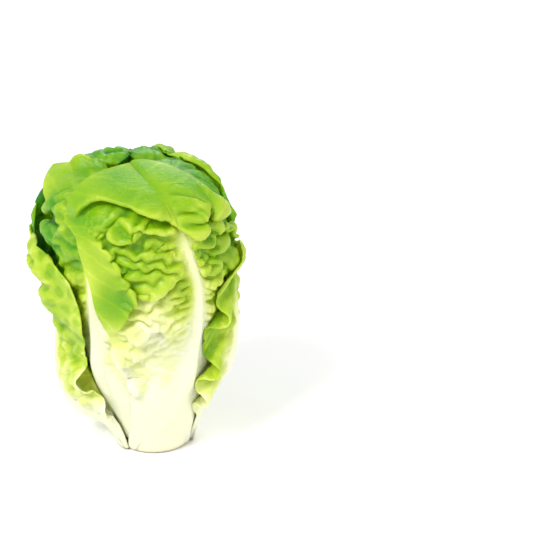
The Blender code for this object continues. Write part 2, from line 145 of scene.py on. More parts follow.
@dataclass
class Leaf:
    """One leaf. Angles are in degrees from the front, positive to the right, and sizes in mm.

    layer is the leaf's scale among the layers. rib, left and right are curves over its length:
    where its middle runs, and how wide it is to either side. shoulder is how far up its corners
    reach, as a share of its length. flare is how far its end stands off, from flare_start on, and
    bumps are broad swellings: place along and across, size along and across, and height.

    folds is how much the blade outgrows its room, ruffles how much its rim does, and room and
    frill how far they may stand off for it. crinkle and depth are the same for the folds between
    the veins, and blister is the growth of the small domes on them. drape is how many points wide
    the leaf bridges the ribs under it. creases are the folds where it lies over itself.

    calm, pleats and tints are patches of the flat leaf that stay smooth, fold another way or
    have another depth of colour. green is the depth of its colour, pale how far up its stalk
    colour reaches, and spots how much deeper its spots are. detail is the number of grids that
    it is grown on, and seed starts its random draws.
    """
    name: str
    slot: str
    layer: float
    length: float
    rib: tuple
    left: tuple
    right: tuple
    shoulder: float = 0.78
    flare: float = 0.0
    flare_start: float = 0.5
    bumps: tuple = ()
    creases: tuple = ()
    calm: tuple = ()
    pleats: tuple = ()
    tints: tuple = ()
    spots: float = 0.0
    drape: int = 0
    folds: float = 0.12
    ruffles: float = 0.3
    frill: float = 0.6
    room: float = 2.0
    crinkle: float = 0.2
    depth: float = 1.9
    blister: float = 0.28
    green: float = 0.8
    pale: float = 0.3
    detail: int = 3
    seed: int = 1


def spread(half_width, stalk=12):
    """Half-width curve of an ordinary leaf: a narrow stalk that opens into a broad blade."""
    share = ((0, 0), (0.12, 0.03), (0.25, 0.22), (0.4, 0.6), (0.6, 0.93), (0.8, 1), (1, 0.93))
    return tuple((along, stalk + (half_width - stalk) * part) for along, part in share)


FRONT_CREASES = (
    # lower edge of the hood
    Crease(((-36, 143), (-23, 145), (-15, 138), (-9, 132), (-3, 130), (3, 124), (8, 122),
            (11.5, 128), (17, 133), (24, 132), (32, 127)),
           height=5, overhang=4, tuck=3, reach=22, fade=6),
    # free edge of the broad flap at the left margin
    Crease(((-40, 70), (-35, 83), (-31.5, 92), (-29.5, 96), (-31, 99), (-32, 106),
            (-33.5, 114), (-34.5, 121), (-34.5, 131)),
           height=3, overhang=3.5, tuck=2, reach=9, fade=14),
    # tongue that hangs over the crumpled part under the hood
    Crease(((-27, 130), (-27.5, 126), (-25, 122.5), (-21, 123), (-19, 120)),
           height=3, overhang=2.5, tuck=1.5, reach=8, fade=4),
    # two folds that run from the rib down to the left
    Crease(((-19.5, 129), (-14, 126), (-8, 123), (-2.5, 124)),
           height=2.5, overhang=2, tuck=2, reach=6, fade=4),
    Crease(((-28.5, 95), (-23, 97), (-17.5, 100), (-11, 106), (-5.5, 110)),
           height=3, overhang=2.5, tuck=2, reach=8, fade=5),
    # arched fold right of the rib
    Crease(((12, 112), (15, 119), (21, 120), (27, 115), (34, 108)),
           height=3.5, overhang=3, tuck=2.5, reach=8, fade=4),
    # peaked pocket low on the blade
    Crease(((-31, 69.5), (-26.5, 74.5), (-24, 79), (-20, 79), (-15, 72)),
           height=2, overhang=1.5, tuck=1.5, reach=6, fade=4),
)
# Smooth places of the front leaf: where, how wide and long they are, and how smooth
FRONT_CALM = ((-4, 154, 60, 20, 1), (-42, 94, 9, 34, 0.6), (-44, 112, 9, 42, 0.6),
              (0, 38, 28, 40, 0.93), (-40, 140, 12, 16, 0.5))
# Where the front leaf folds lengthwise, above 0, or only across, below 0
FRONT_PLEATS = ((20, 100, 14, 26, 0.3), (-20, 116, 22, 20, -0.8), (-14, 62, 36, 34, -1))
# Where its colour is deeper or paler than along the rest of it; the second patch, deeper just
# under the hood's lower edge, is painted shade
FRONT_TINTS = ((-40, 105, 8, 40, -0.1), (-24, 134, 12, 6, 0.05), (-12, 112, 26, 22, -0.13),
               (26, 112, 14, 30, -0.08), (-12, 62, 26, 24, -0.16))

LEAVES = (
    Leaf("heart_leaf_3", "heart", 0.60, 108, ((0, 236), (1, 250)), spread(28, 8), spread(28, 8),
         green=0.35, detail=1, seed=11),
    Leaf("heart_leaf_2", "heart", 0.66, 118, ((0, 98), (1, 110)), spread(30, 8), spread(30, 8),
         green=0.4, detail=1, seed=12),
    Leaf("heart_leaf_1", "heart", 0.72, 126, ((0, -38), (1, -28)), spread(32, 9), spread(32, 9),
         green=0.45, detail=1, seed=13),
    Leaf("inner_leaf_back", "inner_leaf", 0.79, 136, ((0, 158), (1, 148)), spread(38, 10),
         spread(38, 10), bumps=((0.85, 0.1, 0.15, 0.5, 8),), green=0.6, detail=2, seed=14),
    Leaf("inner_leaf_front", "inner_leaf", 0.80, 142, ((0, 22), (1, 34)), spread(38, 10),
         spread(34, 10), green=0.6, detail=2, seed=15),
    Leaf("inner_leaf_left", "inner_leaf", 0.86, 132, ((0, -88), (1, -94)), spread(42, 11),
         spread(40, 11), flare=1.5, green=0.8, seed=16),
    Leaf("back_leaf", "green_leaf", 0.92, 158, ((0, 178), (1, 186)), spread(46), spread(44),
         shoulder=0.84, bumps=((1, 0.0, 0.2, 0.4, 7),), green=1.0, seed=17),
    Leaf("right_leaf", "green_leaf", 0.90, 152, ((0, 62), (1, 66)), spread(40), spread(40),
         bumps=((0.9, 0.1, 0.25, 0.8, 4),), calm=((-20, 130, 40, 40, 0.8),), folds=0.05,
         green=0.9, seed=18),
    Leaf("front_left_leaf", "green_leaf", 0.92, 156,
         ((0, -58), (0.22, -60), (0.38, -45), (0.5, -36), (0.7, -29), (1, -28)),
         ((0, 9), (0.14, 9), (0.3, 12), (0.5, 27), (0.75, 35), (1, 35)),
         ((0, 10), (0.12, 14), (0.25, 22), (0.4, 27), (0.6, 29), (1, 28)),
         shoulder=0.99, bumps=((1, -1, 0.1, 0.16, 15), (0.25, 0, 0.14, 1, 2)),
         calm=((-30, 150, 26, 20, 0.7),),
         # the last tint deepens the colour in the narrow gap between the rib and the left outer
         # leaf: painted shade
         tints=((-34, 96, 14, 30, 0.22), (-28, 150, 24, 18, -0.07), (-13, 56, 8, 26, 0.06)),
         crinkle=0.15, green=0.74, seed=19),
    Leaf("left_back_leaf", "green_leaf", 0.97, 121, ((0, -130), (1, -134)), spread(38),
         spread(34), flare=8.5, flare_start=0.55, green=1.0, seed=20),
    Leaf("right_back_leaf", "green_leaf", 0.93, 144, ((0, 128), (1, 138)), spread(34),
         spread(36), folds=0.06, ruffles=0.12, crinkle=0.2, green=0.75, seed=21),
    Leaf("front_leaf", "front_leaf", 0.98, 164,
         ((0, 14), (0.12, 27), (0.3, 42), (0.45, 45), (0.6, 42), (0.8, 29), (1, 14)),
         ((0, 17), (0.14, 20), (0.25, 26), (0.36, 33), (0.47, 40), (0.57, 46), (0.72, 46),
          (1, 40)),
         ((0, 18), (0.1, 18), (0.2, 18), (0.3, 20), (0.42, 23), (0.6, 25), (0.68, 27),
          (0.75, 36), (0.82, 34), (0.9, 31), (1, 25)),
         shoulder=0.88,
         bumps=((0.75, -0.85, 0.3, 0.2, 1), (1, 0.35, 0.16, 0.7, 4), (0.22, -0.4, 0.14, 0.5, 1.2),
                (0.62, -0.86, 0.06, 0.08, 1.6), (0.52, -0.74, 0.05, 0.1, 1.6),
                (0.72, -0.92, 0.05, 0.1, 1.6)),
         folds=0.07, room=1.4, crinkle=0.14, depth=1.25, blister=0.4, frill=1.8, drape=2,
         creases=FRONT_CREASES, calm=FRONT_CALM, pleats=FRONT_PLEATS, tints=FRONT_TINTS,
         green=0.71, pale=0.35, detail=4, seed=31),
    Leaf("back_outer_leaf", "outer_leaf", 1.03, 116, ((0, 168), (1, 174)), spread(34),
         spread(34), shoulder=0.74, flare=1.5, green=0.8, seed=23),
    Leaf("right_outer_leaf", "outer_leaf", 1.0, 102, ((0, 112), (0.2, 104), (0.4, 96), (1, 90)),
         ((0, 8), (0.12, 10), (0.26, 16), (0.45, 21), (0.7, 21), (1, 19)), spread(32),
         shoulder=0.8, bumps=((0.55, 0.2, 0.24, 0.9, 13),),
         calm=((0, 10, 30, 16, 1),), ruffles=0.25, frill=1.5, green=0.55, seed=24),
    Leaf("left_outer_leaf", "outer_leaf", 1.0, 101, ((0, -94), (0.3, -97), (1, -96)),
         spread(30, 12),
         ((0, 14), (0.14, 16), (0.24, 18), (0.32, 20.5), (0.42, 21), (0.6, 24.5), (0.8, 33),
          (1, 34)),
         shoulder=0.9,
         bumps=((0.42, -0.3, 0.17, 0.9, 22), (0.25, -0.4, 0.12, 0.5, 5),
                (0.65, -0.2, 0.3, 1.1, 7)),
         calm=((-4, 10, 22, 22, 1), (32, 74, 14, 30, 0.8)), ruffles=0.2, crinkle=0.15,
         green=0.5, spots=0.13, seed=25),
)


def curve(along, points):
    """Smooth curve through (place, value) points, read at along."""
    places, values = (np.array(column, float) for column in zip(*points))
    slopes = np.gradient(values, places)
    along = np.clip(along, places[0], places[-1])
    i = np.clip(np.searchsorted(places, along) - 1, 0, len(places) - 2)
    step = places[i + 1] - places[i]
    t = (along - places[i]) / step
    start = (2 * t**3 - 3 * t**2 + 1) * values[i] + (t**3 - 2 * t**2 + t) * step * slopes[i]
    end = (3 * t**2 - 2 * t**3) * values[i + 1] + (t**3 - t**2) * step * slopes[i + 1]
    return start + end


def ease(value, low, high):
    """0 below low, 1 above high and a smooth step between them."""
    t = np.clip((value - low) / (high - low), 0, 1)
    return t * t * (3 - 2 * t)


def length_of(vectors):
    return np.sqrt(np.einsum("...i,...i->...", vectors, vectors))


def outline_reach(polar):
    """Distance from the head's centre to the outermost layer, at an angle from straight up."""
    corners = []
    for radius, height in reversed(OUTLINE):
        above = height * MM - CENTRE_HEIGHT
        corners.append((math.atan2(radius * MM, above), math.hypot(radius * MM, above)))
    return curve(np.abs(polar), corners)


def crown_layer(layer, polar):
    """Scale of a layer at a polar angle: the layers lie a little closer over the crown."""
    closeness = 0.8 + 0.2 * ease(np.abs(polar), math.radians(25), math.radians(75))
    return 1 - (1 - layer) * closeness


def polar_at(distance, layer):
    """Polar angle at a distance along a layer, from its foot at the stem over the crown."""
    polar = np.linspace(BASE_POLAR, -PAST_TOP, POLAR_STEPS)
    reach = outline_reach(polar) * crown_layer(layer, polar)
    radius = reach * np.sin(polar)
    height = reach * np.cos(polar)
    above_floor = CENTRE_HEIGHT + height > BASE_HEIGHT
    polar, radius, height = polar[above_floor], radius[above_floor], height[above_floor]
    steps = np.hypot(np.diff(radius), np.diff(height))
    return np.interp(distance, np.concatenate([[0], np.cumsum(steps)]), polar)


def leaf_chart(leaf, along, across):
    """Flat place of a leaf's points: sideways from the rib and onward from the stem."""
    half = np.where(across < 0, curve(along, leaf.left), curve(along, leaf.right)) * MM
    rib = np.minimum(curve(along, RIB_WIDTH) * MM, 0.8 * half)
    size = np.abs(across)
    in_rib = np.minimum(size / RIB_BAND, 1) * rib
    in_blade = np.clip((size - RIB_BAND) / (1 - RIB_BAND), 0, None) * (half - rib)
    arch = np.cos(np.clip(across, -1, 1) * math.pi / 2) ** 0.8
    onward = along * leaf.length * MM * (leaf.shoulder + (1 - leaf.shoulder) * arch)
    return np.sign(across) * (in_rib + in_blade), onward


def leaf_directions(leaf, along, sideways, onward):
    """Directions from the head's centre through a leaf's points, and the layer's scale there."""
    polar = polar_at(onward, leaf.layer)
    reach = outline_reach(polar) * leaf.layer
    rib = np.radians(curve(along, leaf.rib))
    around = rib + sideways / np.maximum(np.abs(reach * np.sin(polar)), LEAST_RADIUS)
    ring = np.stack([np.sin(polar) * np.sin(around), -np.sin(polar) * np.cos(around),
                     np.cos(polar)], -1)
    middle = np.stack([np.sin(polar) * np.sin(rib), -np.sin(polar) * np.cos(rib),
                       np.cos(polar)], -1)
    side = np.stack([np.cos(rib), np.sin(rib), np.zeros_like(rib)], -1)
    turn = (sideways / reach)[..., None]
    cap = middle * np.cos(turn) + side * np.sin(turn)
    over_crown = ease(-polar, -CROWN_FROM, -CROWN_TO)[..., None]
    direction = ring * (1 - over_crown) + cap * over_crown
    direction /= length_of(direction)[..., None]
    polar = np.arccos(np.clip(direction[..., 2], -1, 1))
    return direction, crown_layer(leaf.layer, polar)


def leaf_lift(leaf, along, across):
    """How far a leaf's points stand off its layer: where it flares, and its broad bumps."""
    lift = leaf.flare * ease(along, leaf.flare_start, 1)
    for bump_along, bump_across, long_size, cross_size, height in leaf.bumps:
        apart = ((along - bump_along) / long_size) ** 2
        apart += ((across - bump_across) / cross_size) ** 2
        lift = lift + height * np.exp(-apart)
    return lift * MM


def leaf_thickness(along, across):
    """Thickness of a leaf: a thin blade, a stout stalk and a rib that tapers upward."""
    size = np.abs(across)
    stalk = STALK_THICKNESS * (1 - ease(along, *STALK_FADE)) * (1 - np.minimum(size, 1) ** 8)
    rib = RIB_HEIGHT * (1 - ease(along, *RIB_FADE)) * ease(along, *RIB_START)
    ridge = 1 - ease(size, 0, RIB_BAND)
    return BLADE_THICKNESS + stalk + rib * ridge


def crease_fold(crease, sideways, onward):
    """Slide over the leaf, sideways and onward, and lift off it at a crease."""
    line_x, line_y = (np.array(column) * MM for column in zip(*crease.line))
    count = 6 * len(line_x)
    line_x, line_y = upsample(line_x, count), upsample(line_y, count)
    nearest = np.full(sideways.shape, np.inf)
    signed, normal_x, normal_y, travel = (np.zeros(sideways.shape) for _ in range(4))
    gone = 0.0
    for i in range(count - 1):
        step_x, step_y = line_x[i + 1] - line_x[i], line_y[i + 1] - line_y[i]
        span = math.hypot(step_x, step_y)
        from_x, from_y = sideways - line_x[i], onward - line_y[i]
        share = np.clip((from_x * step_x + from_y * step_y) / span**2, 0, 1)
        apart = np.hypot(from_x - share * step_x, from_y - share * step_y)
        left = np.sign(step_x * from_y - step_y * from_x)
        closer = apart < nearest
        nearest = np.where(closer, apart, nearest)
        signed = np.where(closer, apart * left, signed)
        normal_x = np.where(closer, -step_y / span, normal_x)
        normal_y = np.where(closer, step_x / span, normal_y)
        travel = np.where(closer, gone + share * span, travel)
        gone += span
    fade = crease.fade * MM
    ends = ease(travel, 0, fade) * ease(gone - travel, 0, fade)
    side = np.tanh(signed / CREASE_WIDTH)
    near = np.exp(-((signed / CREASE_REACH) ** 2)) * ends
    slide = -np.where(signed > 0, crease.overhang, crease.tuck) * MM * side * near
    lift = crease.height * MM * (0.5 + 0.5 * side) * ends
    lift = lift * np.exp(-np.maximum(signed, 0) / (crease.reach * MM))
    return slide * normal_x, slide * normal_y, lift


def fold_sheet(leaf, points, along, across):
    """Fold a leaf's sheet over itself at its creases."""
    sideways, onward = leaf_chart(leaf, along, across)
    normal = outward_normals(points)
    to_side = np.gradient(points, axis=1)
    to_top = np.gradient(points, axis=0)
    to_side /= length_of(to_side)[..., None]
    to_top /= length_of(to_top)[..., None]
    folded = points.copy()
    for crease in leaf.creases:
        slide_x, slide_y, lift = crease_fold(crease, sideways, onward)
        folded += slide_x[..., None] * to_side + slide_y[..., None] * to_top
        folded += lift[..., None] * normal
    return folded


def cell_place(direction):
    """Row and column of a direction in a field over directions, with their fractions."""
    polar = np.arccos(np.clip(direction[..., 2], -1, 1))
    azimuth = np.arctan2(direction[..., 0], -direction[..., 1]) % (2 * math.pi)
    return np.minimum(polar / CELL, POLAR_CELLS - 1e-6), azimuth / CELL


def read_field(field, direction):
    """Field over directions, read smoothly between the middles of its cells."""
    row, column = cell_place(direction)
    row, column = np.clip(row - 0.5, 0, POLAR_CELLS - 1), column - 0.5
    top, left = np.floor(row).astype(int), np.floor(column).astype(int)
    down, right = row - top, column - left
    below = np.minimum(top + 1, POLAR_CELLS - 1)
    left, beyond = left % AZIMUTH_CELLS, (left + 1) % AZIMUTH_CELLS
    upper = field[top, left] * (1 - right) + field[top, beyond] * right
    lower = field[below, left] * (1 - right) + field[below, beyond] * right
    return upper * (1 - down) + lower * down


class Stack:
    """How far out the leaves laid so far reach, as a layer's scale in every direction."""

    def __init__(self):
        self.scale = np.zeros((POLAR_CELLS, AZIMUTH_CELLS))
        self.widened = self.scale

    def cells(self, direction):
        row, column = cell_place(direction)
        return row.astype(int), column.astype(int) % AZIMUTH_CELLS

    def read(self, direction):
        """Scale that a point in this direction has to clear."""
        return read_field(self.widened, direction)

    def add(self, points):
        """Lay a surface on the stack."""
        offset = points.reshape(-1, 3) - CENTRE
        reach = length_of(offset)
        direction = offset / reach[:, None]
        polar = np.arccos(np.clip(direction[:, 2], -1, 1))
        np.maximum.at(self.scale, self.cells(direction), reach / outline_reach(polar))
        rows = np.pad(self.scale, ((1, 1), (0, 0)), mode="edge")
        beside = [np.roll(self.scale, 1, axis=1), np.roll(self.scale, -1, axis=1)]
        self.widened = np.max([rows[:-2], rows[1:-1], rows[2:], *beside], axis=0)


def beside(values):
    """Mean of the four neighbours of each grid point."""
    padded = np.pad(values, 1, mode="edge")
    return (padded[:-2, 1:-1] + padded[2:, 1:-1] + padded[1:-1, :-2] + padded[1:-1, 2:]) / 4


def leaf_grid(leaf, level):
    """Shares along and across a leaf of its grid's points, on one of its grids."""
    longest = leaf.length * MM
    widths = []
    for side in (leaf.left, leaf.right):
        widths.append(max(value for _, value in side) * MM)
    rows = round(longest / SPACING)
    sides = [max(round(width / SPACING), 4) for width in widths]
    half = [np.concatenate([np.linspace(0, RIB_BAND, RIB_COLUMNS + 1),
                            np.linspace(RIB_BAND, 1, count + 1)[1:]]) for count in sides]
    across = np.concatenate([-half[0][:0:-1], half[1]])
    along = np.linspace(0, 1, rows + 1)
    for factor in FINER[:level]:
        across = upsample(across, round(factor * (len(across) - 1)) + 1)
        along = upsample(along, round(factor * (len(along) - 1)) + 1)
    return np.meshgrid(along, across, indexing="ij")


def upsample(values, count, axis=0):
    """Cubic interpolation of values onto more points along one axis."""
    values = np.swapaxes(values, 0, axis)
    last = len(values) - 1
    x = np.linspace(0, last, count)
    i = np.clip(x.astype(int), 0, last - 1)
    t = (x - i).reshape((count,) + (1,) * (values.ndim - 1))
    before, after, beyond = np.maximum(i - 1, 0), i + 1, np.minimum(i + 2, last)
    result = (2 * t**2 - t - t**3) / 2 * values[before]
    result = result + (2 - 5 * t**2 + 3 * t**3) / 2 * values[i]
    result = result + (t + 4 * t**2 - 3 * t**3) / 2 * values[after]
    result = result + (t**3 - t**2) / 2 * values[beyond]
    return np.swapaxes(result, 0, axis)


def finer(values, shape):
    return upsample(upsample(values, shape[0]), shape[1], axis=1)


def noise(shape, cells, rng):
    """Smooth noise over a grid, with about cells bumps each way."""
    coarse = rng.standard_normal((cells[0] + 2, cells[1] + 2))
    return finer(coarse, shape)


def sheet_normals(points):
    """Unit normals of a sheet, pointing away from the head."""
    normals = np.cross(np.gradient(points, axis=1), np.gradient(points, axis=0))
    return normals / np.maximum(length_of(normals), 1e-12)[..., None]


def outward_normals(points):
    normals = sheet_normals(points)
    middle = tuple(size // 2 for size in points.shape[:2])
    away = points - CENTRE
    if np.sum(normals * away, axis=-1)[middle] < 0:
        normals = -normals
    return normals


def pull(points, first, second, rest, strength):
    """Move pairs of points towards their rest distance."""
    start, end = points[first], points[second]
    apart = end - start
    length = np.maximum(length_of(apart), 1e-9)
    move = (strength / 2 * (length - rest) / length)[..., None] * apart
    points[first] = start + move
    points[second] = end - move


def middle_of(values, axis):
    """Means of neighbouring values along one axis."""
    values = np.swapaxes(values, 0, axis)
    return np.swapaxes((values[1:] + values[:-1]) / 2, 0, axis)


def pairs(offset, count):
    """Slices of every second of count points from an offset on, and of the points after them."""
    last = offset + 2 * ((count - offset) // 2)
    return slice(offset, last, 2), slice(offset + 1, last, 2)


@dataclass
class Growth:
    """How a sheet grows on one of its grids.

    longer and wider are its growth along and across. It starts as a wave and stays between low
    and high over the sheet that it grew from. rounds is how long it takes, bend how stiff it is
    and slide how far it may move sideways.
    """
    longer: np.ndarray
    wider: np.ndarray
    low: np.ndarray
    high: np.ndarray
    wave: np.ndarray
    rounds: int
    bend: float
    slide: float


def grow(base, growth, hold):
    """Relax a sheet that outgrows its room. It is held fast where hold is 0."""
    normal = outward_normals(base)
    points = base + growth.wave[..., None] * normal
    rows, columns = base.shape[:2]
    along_rest = length_of(base[1:] - base[:-1])
    across_rest = length_of(base[:, 1:] - base[:, :-1])
    falling = length_of(base[1:, 1:] - base[:-1, :-1])
    rising = length_of(base[1:, :-1] - base[:-1, 1:])
    square = np.hypot(middle_of(along_rest, 1), middle_of(across_rest, 0))
    along_growth = (growth.longer[1:] + growth.longer[:-1]) / 2
    across_growth = (growth.wider[:, 1:] + growth.wider[:, :-1]) / 2
    every, left, right = slice(None), slice(None, -1), slice(1, None)
    for number in range(growth.rounds):
        grown = min(1, (number + 1) / (GROWING_SHARE * growth.rounds))
        along_now = along_rest * (1 + grown * along_growth)
        across_now = across_rest * (1 + grown * across_growth)
        stretch = np.hypot(middle_of(along_now, 1), middle_of(across_now, 0)) / square
        for offset in (0, 1):
            one, two = pairs(offset, rows)
            pull(points, (one, every), (two, every), along_now[one], EDGE_PULL)
            pull(points, (one, left), (two, right), (falling * stretch)[one], DIAGONAL_PULL)
            pull(points, (one, right), (two, left), (rising * stretch)[one], DIAGONAL_PULL)
            one, two = pairs(offset, columns)
            pull(points, (every, one), (every, two), across_now[:, one], EDGE_PULL)
        for sheet in (points, points.transpose(1, 0, 2)):
            curl = (sheet[2:] + sheet[:-2]) / 2 - sheet[1:-1]
            sheet[1:-1] += growth.bend * 0.5 * curl
            sheet[2:] -= growth.bend * 0.25 * curl
            sheet[:-2] -= growth.bend * 0.25 * curl
        offset = points - base
        height = np.einsum("...i,...i->...", offset, normal)
        along_sheet = offset - height[..., None] * normal
        far = length_of(along_sheet)
        kept = hold * np.minimum(far, growth.slide) / np.maximum(far, 1e-9)
        along_sheet *= kept[..., None]
        height = hold * np.clip(height, growth.low, growth.high)
        points = base + height[..., None] * normal + along_sheet
    return points


def lay_base(leaf, stack, along, across):
    """Inner face of a leaf, laid on the leaves inside it as a smooth sheet; its creases are
    folded in later.
    """
    sideways, onward = leaf_chart(leaf, along, across)
    lift = leaf_lift(leaf, along, across)
    for _ in range(FOOT_ROUNDS):
        direction, scale = leaf_directions(leaf, along, sideways, onward)
        floor = stack.read(direction) + GAP / LAYER_DEPTH
        scale = settle(scale + lift / LAYER_DEPTH, soft_floor(floor, leaf.drape))
        reach = outline_reach(np.arccos(np.clip(direction[..., 2], -1, 1)))
        points = CENTRE + direction * (scale * reach)[..., None]
        below = np.maximum(FOOT_HEIGHT - points[0, :, 2], 0)
        onward = onward + below * (1 - along) ** 3
    return points


def soft_floor(floor, rounds):
    """Floor under a sheet, widened and blurred so that the ribs below don't print through."""
    for _ in range(rounds):
        padded = np.pad(floor, 1, mode="edge")
        floor = np.max([floor, padded[:-2, 1:-1], padded[2:, 1:-1], padded[1:-1, :-2],
                        padded[1:-1, 2:]], axis=0)
    for _ in range(3 * rounds):
        floor = beside(floor)
    return floor


def settle(scale, floor):
    """Raise a sheet until it clears the floor, and smooth it."""
    for _ in range(SETTLE_ROUNDS):
        need = np.maximum(floor - scale, 0)
        if need.max() < LEAST_NEED:
            break
        scale = scale + np.maximum(need, 0.8 * beside(need))
    for _ in range(SMOOTH_ROUNDS):
        scale = np.maximum(beside(scale), floor)
    return scale


def keep_clear(points, stack):
    """Push what has sunk into the leaves inside it back out along its ray."""
    offset = points - CENTRE
    reach = length_of(offset)
    direction = offset / reach[..., None]
    outline = outline_reach(np.arccos(np.clip(direction[..., 2], -1, 1)))
    floor = (stack.read(direction) + GAP / LAYER_DEPTH) * outline
    return CENTRE + direction * np.maximum(reach, floor)[..., None]


def cover_maps(leaves):
    """For each leaf, how far it is covered by the leaves outside it, in every direction.

    Only the directions of the leaves count here, so they are marked at one distance.
    """
    prints = []
    for leaf in leaves:
        along, across = leaf_grid(leaf, 1)
        sideways, onward = leaf_chart(leaf, along, across)
        direction, _ = leaf_directions(leaf, along, sideways, onward)
        mark = Stack()
        mark.add(CENTRE + MARK_DISTANCE * direction)
        prints.append((mark.widened > 0).astype(float))
    maps = []
    above = np.zeros((POLAR_CELLS, AZIMUTH_CELLS))
    for mark in reversed(prints):
        maps.append(soften(above, COVER_ROUNDS))
        above = np.maximum(above, mark)
    return maps[::-1]


def soften(field, rounds):
    """Blur a field over directions."""
    for _ in range(rounds):
        rows = np.pad(field, ((1, 1), (0, 0)), mode="edge")
        field = (rows[:-2] + rows[2:] + np.roll(field, 1, 1) + np.roll(field, -1, 1)
                 + field) / 5
    return field


def cell_domes(sideways, onward, pitch, rng):
    """Domes of an uneven net of cells: 1 in the middle of a cell and 0 on the net.

    The net lies on a square of places that repeats after size cells, each moved at random.
    """
    size = 64
    jitter = rng.uniform(0.1, 0.9, (size, size, 2))
    x, y = sideways / pitch + size / 2, onward / pitch
    column, row = np.floor(x).astype(int), np.floor(y).astype(int)
    nearest = np.full(x.shape, 9.0)
    second = np.full(x.shape, 9.0)
    for i in (-1, 0, 1):
        for j in (-1, 0, 1):
            seed = jitter[(column + i) % size, (row + j) % size]
            apart = np.hypot(column + i + seed[..., 0] - x, row + j + seed[..., 1] - y)
            second = np.minimum(second, np.maximum(nearest, apart))
            nearest = np.minimum(nearest, apart)
    return ease(second - nearest, 0, 0.55)


def vein_lines(sideways, onward, rng):
    """Side veins that leave the rib and curve upward: 1 on a vein and 0 between."""
    out = np.abs(sideways)
    wander = noise(onward.shape, (9, 7), rng) * VEIN_WANDER
    bowed = onward - VEIN_SLOPE * out - VEIN_CURVE * out**2 + wander
    phase = bowed / VEIN_PITCH + np.where(sideways < 0, 0, 0.45)
    apart = np.abs(phase - np.round(phase)) * VEIN_PITCH
    return np.exp(-(apart / VEIN_WIDTH) ** 2)


def lean(points):
    """Bend the upright head a little to the left, as it stands in its real pose."""
    leaning = points.copy()
    height = np.clip(points[..., 2], 0, None)
    leaning[..., 0] -= LEAN * (height / HEAD_HEIGHT) ** LEAN_POWER
    return leaning


class Sheet:
    """Places of a leaf's points on one of its grids, and masks over them from 0 to 1."""

    def __init__(self, leaf, points, along, across, cover):
        self.along, self.size = along, np.abs(across)
        self.sideways, self.onward = leaf_chart(leaf, along, across)
        offset = points - CENTRE
        free = 1 - read_field(cover, offset / length_of(offset)[..., None])
        calm = np.minimum(self.patches(leaf.calm), MOST_CALM)
        self.loose = (COVERED_GROWTH + (1 - COVERED_GROWTH) * free) * (1 - calm)
        self.pleats = self.patches(leaf.pleats)
        self.off_rib = ease(self.size, 0.85 * RIB_BAND, 1.5 * RIB_BAND)
        self.beside_rib = 1 - ease(self.size, 1.2 * RIB_BAND, 3 * RIB_BAND)
        self.blade = self.off_rib * ease(along, 0.15, 0.45)
        self.rim = np.maximum(ease(self.size, 0.75, 1) * ease(along, 0.16, 0.34),
                              ease(along, 0.88, 1))
        self.hold = np.maximum(ease(self.size, 0.03, 0.22) * ease(along, 0.03, 0.16),
                               ease(along, 0.8, 0.95))
        half = np.where(across < 0, curve(along, leaf.left), curve(along, leaf.right))
        self.broad = ease(half, 15, 55)

    def patches(self, spots):
        """Sum of soft round patches: place, width, length and amount of each."""
        total = np.zeros(self.onward.shape)
        for x, y, wide, long, amount in spots:
            apart = ((self.sideways / MM - x) / wide) ** 2 + ((self.onward / MM - y) / long) ** 2
            total += amount * np.exp(-apart**2)
        return total

    def domes(self, pitch, rng):
        return cell_domes(self.sideways, self.onward, pitch, rng)

    def noise(self, cells, rng):
        return noise(self.onward.shape, cells, rng)

    def pleated(self, longer, wider):
        """Growth along and across, turned lengthwise or crosswise where the leaf is pleated."""
        longer = longer * (1 - np.maximum(self.pleats, 0))
        wider = np.maximum(wider * (1 + np.minimum(self.pleats, 0)), self.pleats * self.off_rib)
        return longer, wider


def fold_growth(leaf, sheet, rng):
    """Broad folds of the blade and ruffles of its rim."""
    wide = sheet.blade * ease(sheet.size, 0.15, 0.6)
    longer = (leaf.folds * wide + leaf.ruffles * sheet.rim * sheet.off_rib) * sheet.loose
    wider = (0.6 * leaf.folds * wide + 0.5 * leaf.ruffles * sheet.rim) * sheet.loose * sheet.broad
    longer, wider = sheet.pleated(longer, wider)
    high = (0.3 + (leaf.room * wide + leaf.frill * sheet.rim) * sheet.loose) * MM
    low = np.full_like(high, -0.2 * MM)
    wave = sheet.noise((20, 12), rng) * 0.6 * MM * wide * sheet.loose
    return Growth(longer, wider, low, high, wave, rounds=160, bend=0.3, slide=2 * MM)


def crinkle_growth(leaf, sheet, rng):
    """Crinkles between the veins."""
    blade, rim, loose = sheet.blade, sheet.rim, sheet.loose
    domes = sheet.domes(CRINKLE_PITCH, rng)
    longer = (leaf.crinkle * blade + 0.5 * leaf.ruffles * rim) * loose
    wider = (leaf.crinkle * blade * (1 - sheet.beside_rib) + 0.1 * rim) * loose * sheet.broad
    longer, wider = sheet.pleated(longer, wider)
    high = (0.15 + leaf.depth * loose * (0.4 + 0.6 * domes) * blade + 0.4 * rim * loose) * MM
    wave = (0.3 * domes + 0.3 * sheet.noise((50, 30), rng)) * MM * blade * loose
    return Growth(longer, wider, -0.6 * high, high, wave, rounds=160, bend=0.3, slide=1.5 * MM)


def blister_growth(leaf, sheet, rng):
    """Blisters on the crinkles."""
    blade, beside_rib, loose = sheet.blade, sheet.beside_rib, sheet.loose
    domes = sheet.domes(BLISTER_PITCH, rng)
    longer = (leaf.blister * (1 + 0.6 * beside_rib) * blade + 0.1 * sheet.rim) * loose
    wider = 0.7 * leaf.blister * blade * (1 - beside_rib) * loose * sheet.broad
    high = (0.05 + BLISTER_HEIGHT * (0.4 + 0.6 * domes) * blade * loose) * MM
    wave = 0.12 * sheet.noise((110, 60), rng) * MM * blade * loose
    return Growth(longer, wider, -0.8 * high, high, wave, rounds=80, bend=0.35, slide=0.6 * MM)


